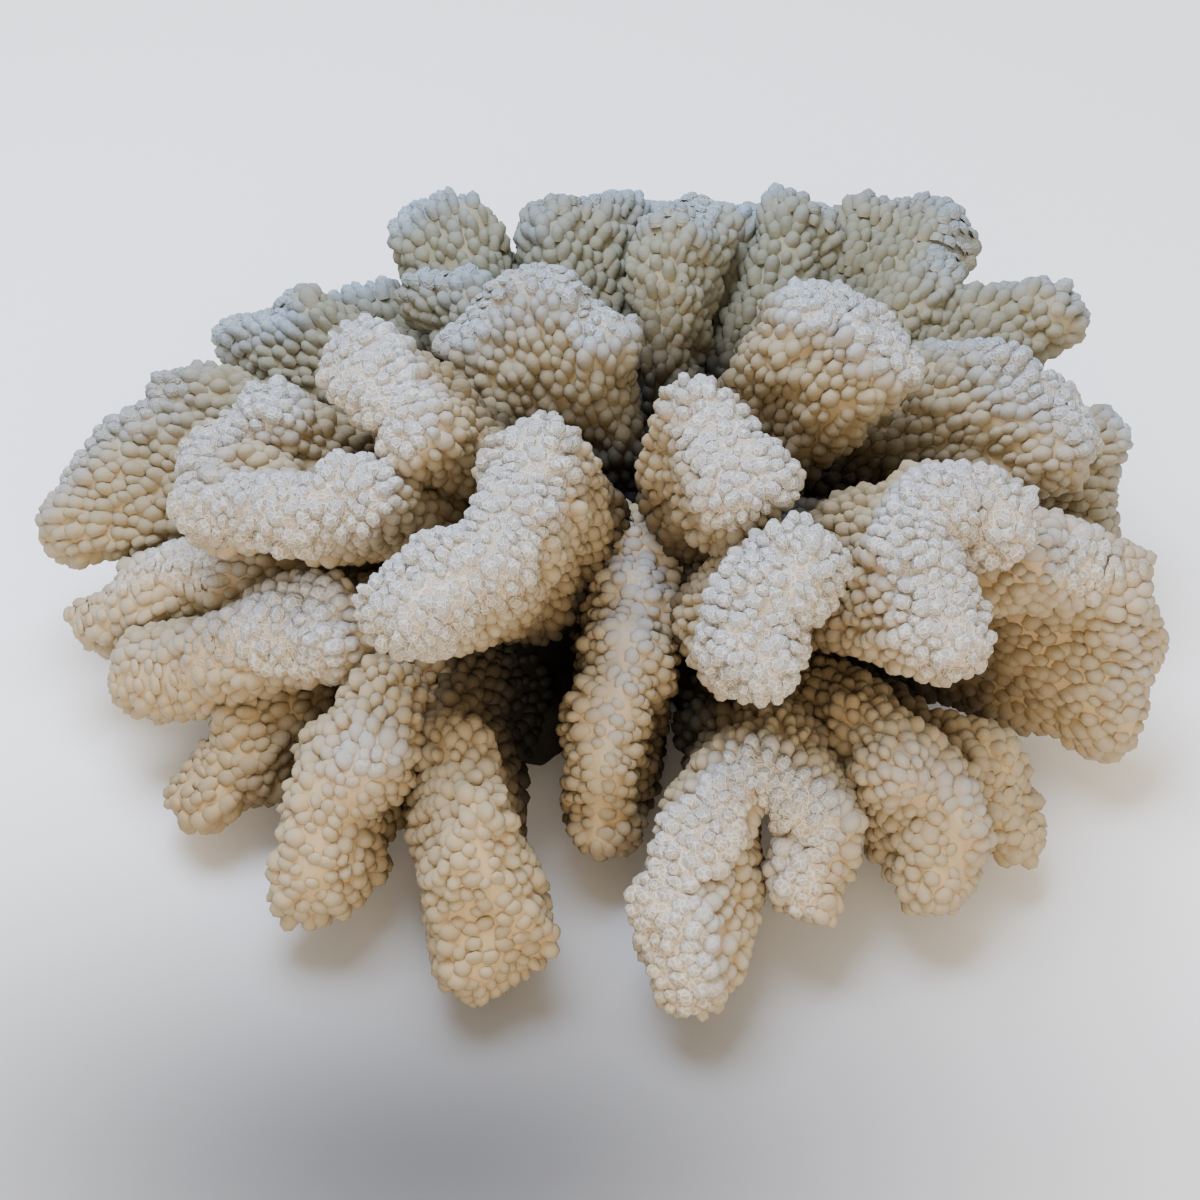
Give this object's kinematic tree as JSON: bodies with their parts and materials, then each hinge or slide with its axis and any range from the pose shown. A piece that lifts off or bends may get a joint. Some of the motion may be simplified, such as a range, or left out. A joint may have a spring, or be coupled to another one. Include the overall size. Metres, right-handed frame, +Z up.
{
  "type": "cauliflower coral colony",
  "caption": "Bleached cauliflower coral: thick, lumpy blades that stand out on all sides of a short trunk, which is cut off flat so that the colony stands on a shelf.",
  "frame": {"origin": "middle of the flat cut under the trunk, on which the colony rests", "axes": "+Z up, +X to the right and +Y away from a viewer who faces the front, the side with the nose and the two long legs"},
  "size_m": [0.2168, 0.208, 0.0901],
  "materials": {
    "bleached_coral": "matte",
    "stained_coral": "matte"
  },
  "bodies": {
    "root": {"cut_base": "stained_coral", "dark_stub": "stained_coral", "front_finger": "bleached_coral", "front_left_leg": "bleached_coral", "front_left_fan": "bleached_coral", "front_right_leg": "bleached_coral", "front_right_fan": "bleached_coral", "front_right_low_lobe": "bleached_coral", "front_crooked_blade": "bleached_coral", "front_upper_knob": "bleached_coral", "front_nose": "bleached_coral", "left_front_fan": "bleached_coral", "left_front_low_lobe": "bleached_coral", "left_small_blade": "bleached_coral", "left_outer_fan": "bleached_coral", "left_cup": "bleached_coral", "left_upper_arm": "bleached_coral", "left_back_blade": "bleached_coral", "back_left_fan": "bleached_coral", "back_left_lobe": "bleached_coral", "centre_fan": "bleached_coral", "centre_back_lobe": "bleached_coral", "back_twin_lobe": "bleached_coral", "back_column": "bleached_coral", "back_narrow_blade": "bleached_coral", "back_right_blade": "bleached_coral", "back_right_fan": "bleached_coral", "right_top_blade": "bleached_coral", "right_back_blade": "bleached_coral", "right_broad_blade": "bleached_coral", "right_outer_blade": "bleached_coral", "right_hook": "bleached_coral", "right_square_blade": "bleached_coral", "rear_far_left": "bleached_coral", "rear_left": "bleached_coral", "rear_middle_left": "bleached_coral", "rear_middle_right": "bleached_coral", "rear_right": "bleached_coral", "rear_far_right": "bleached_coral", "right_low_blade": "bleached_coral"}
  },
  "joints": []
}
